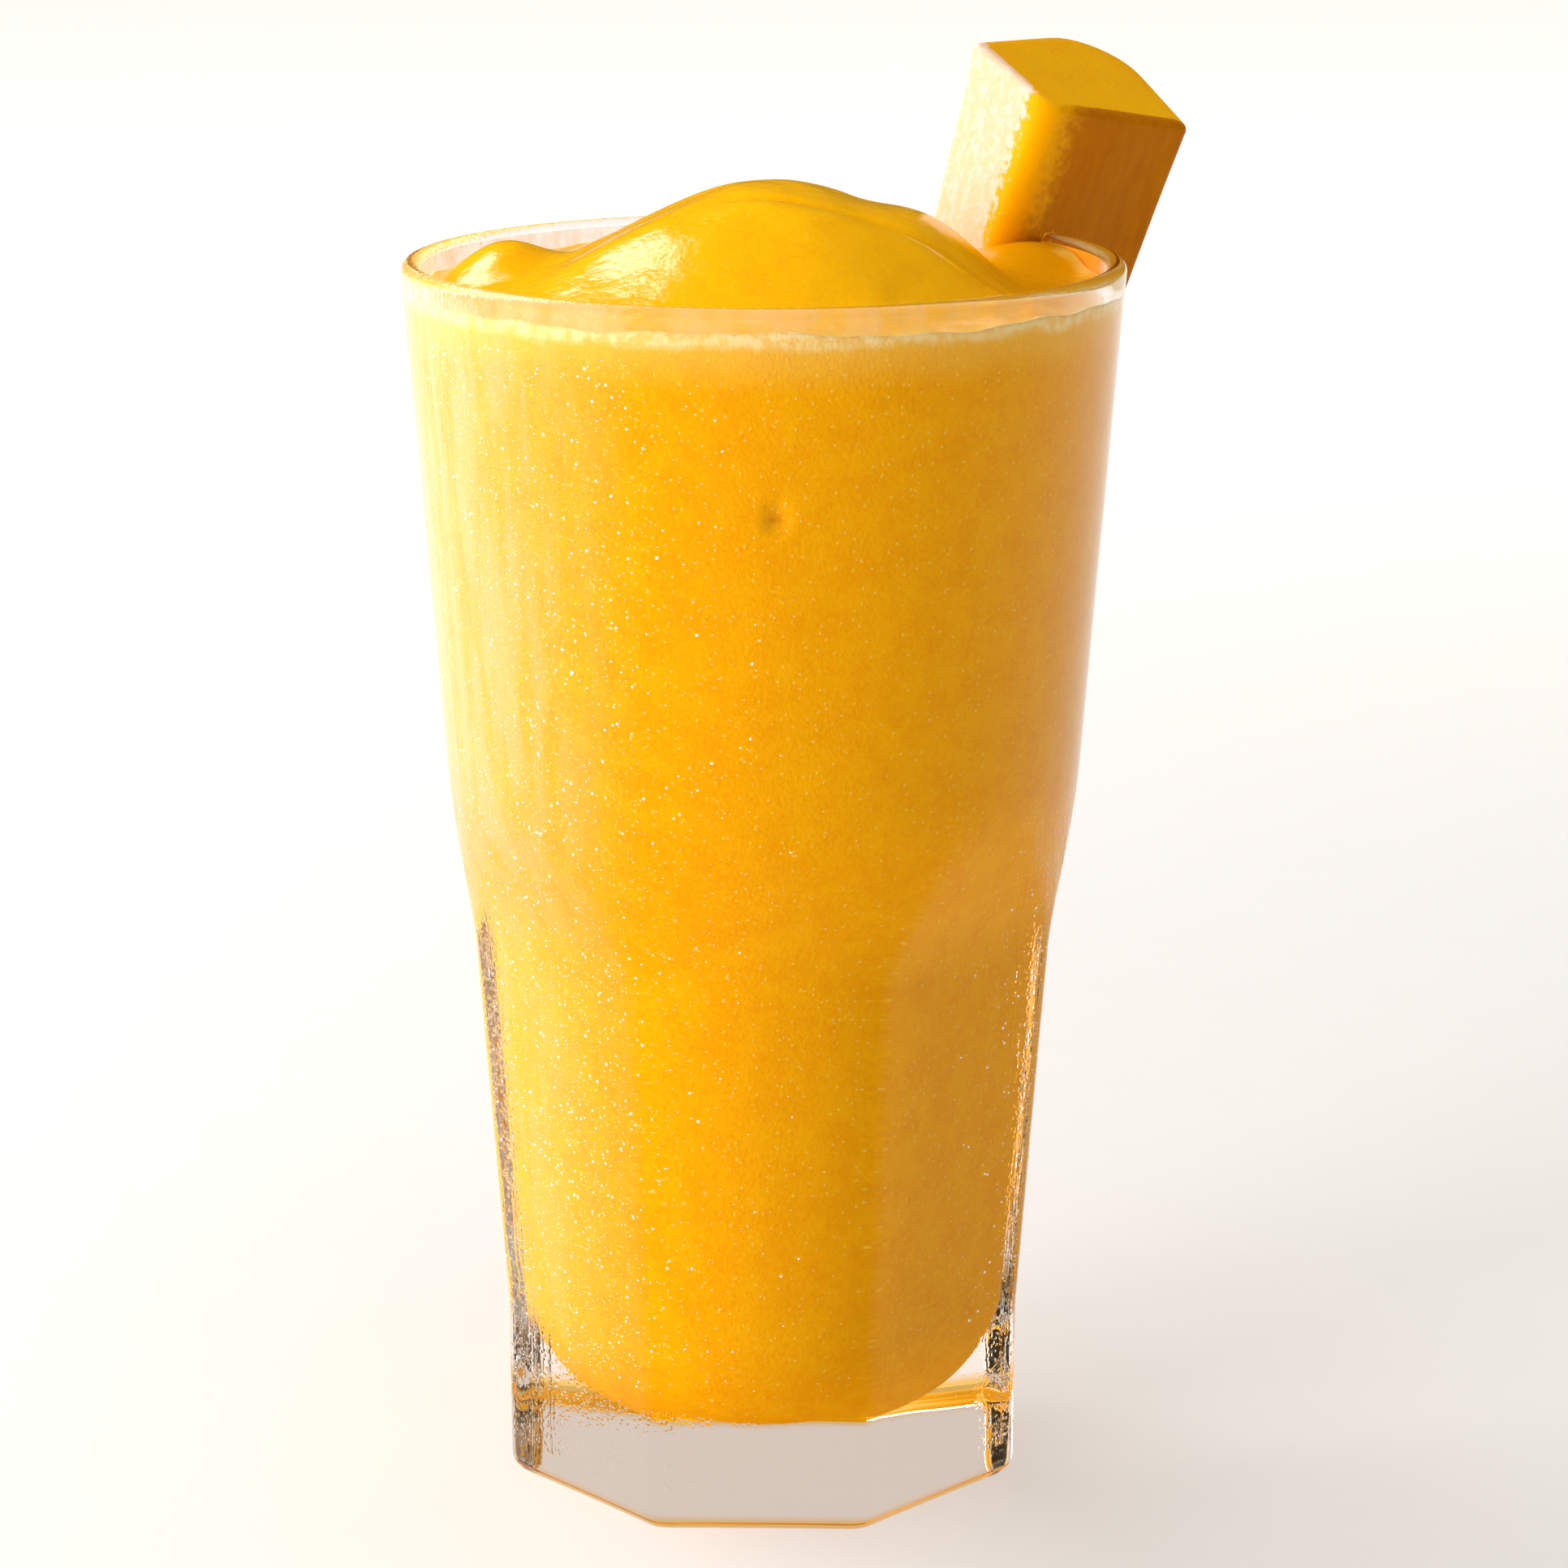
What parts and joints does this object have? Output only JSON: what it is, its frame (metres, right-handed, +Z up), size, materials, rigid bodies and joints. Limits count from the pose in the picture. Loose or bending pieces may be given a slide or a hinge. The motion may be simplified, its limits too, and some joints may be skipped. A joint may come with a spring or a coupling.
{
  "type": "mango smoothie",
  "caption": "Tall clear tumbler, round above and faceted below, heaped with thick mango smoothie, with a slit spear of mango flesh hung on its rim.",
  "frame": {"origin": "centre of the glass's flat underside, on the table", "axes": "+Z up along the glass's axis; a facet of the lower glass faces -Y, the front, and the mango spear hangs on the rim towards +X and +Y"},
  "size_m": [0.0957, 0.0861, 0.1731],
  "materials": {
    "clear_glass": "clear pressed soda-lime glass, glossy, wet with condensation",
    "smoothie": "thick wet mango puree, opaque yellow-orange, softly glossy",
    "mango_flesh": "moist cut mango flesh, yellow-orange, slightly translucent and fibrous"
  },
  "bodies": {
    "root": {"glass": "clear_glass", "smoothie": "smoothie", "mango_spear": "mango_flesh"}
  },
  "joints": []
}
